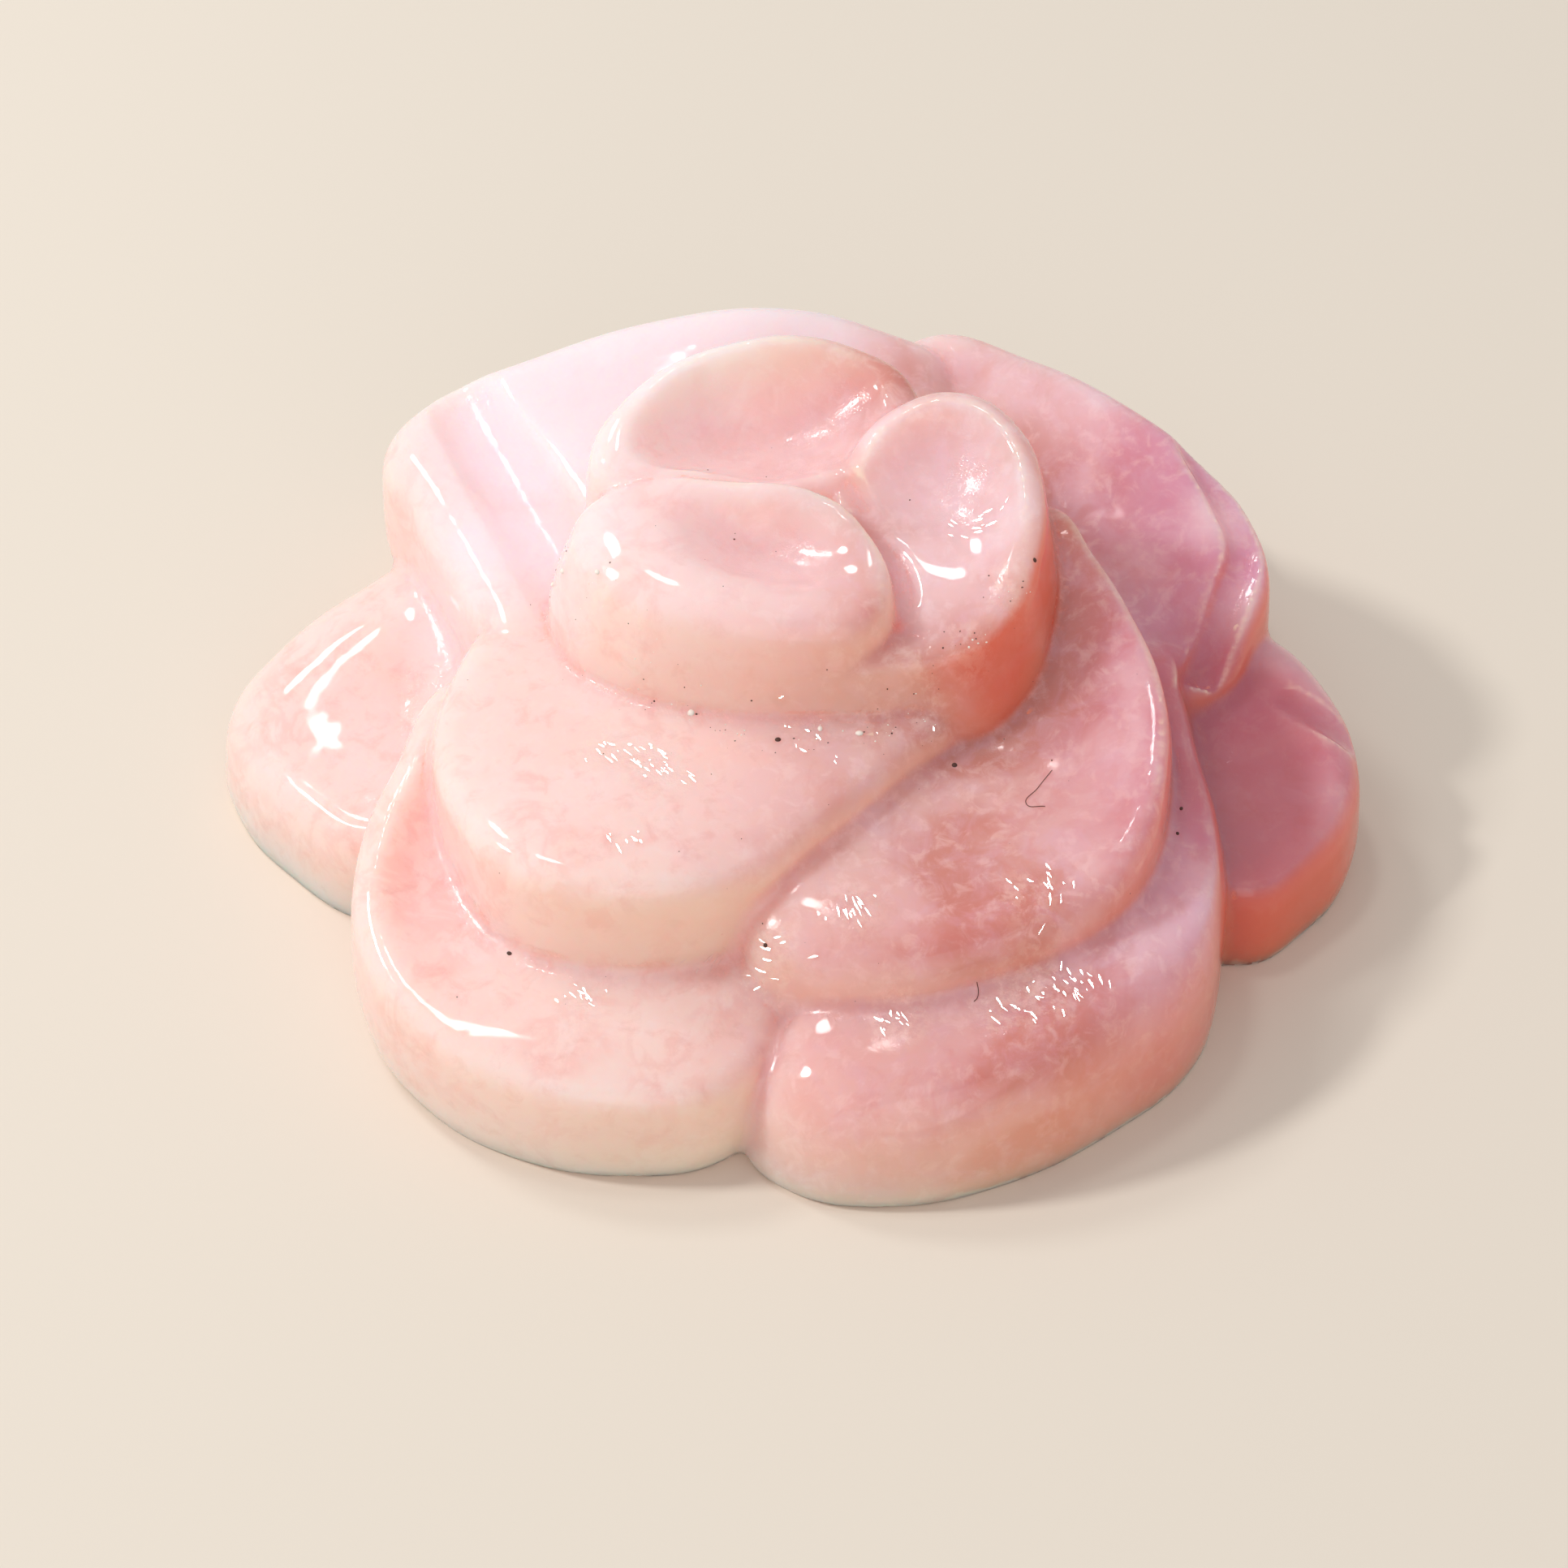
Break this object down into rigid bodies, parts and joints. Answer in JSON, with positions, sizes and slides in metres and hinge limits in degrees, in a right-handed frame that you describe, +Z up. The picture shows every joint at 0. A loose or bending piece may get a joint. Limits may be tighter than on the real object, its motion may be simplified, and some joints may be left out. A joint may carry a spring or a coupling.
{
  "type": "carved pink opal rose",
  "caption": "Pink opal pebble carved as an open rose, with overlapping rounded petals around a bud, polished all over, resting on its flat back.",
  "frame": {"origin": "on the flat back, under the middle of the outline", "axes": "+Z up out of the flat back through the bud, -Y to the front, where the two broad outer petals meet in a notch, +X to the right"},
  "size_m": [0.041, 0.039, 0.0159],
  "materials": {
    "opal": "polished stone, gloss"
  },
  "bodies": {
    "root": {"opal_rose": "opal"}
  },
  "joints": []
}
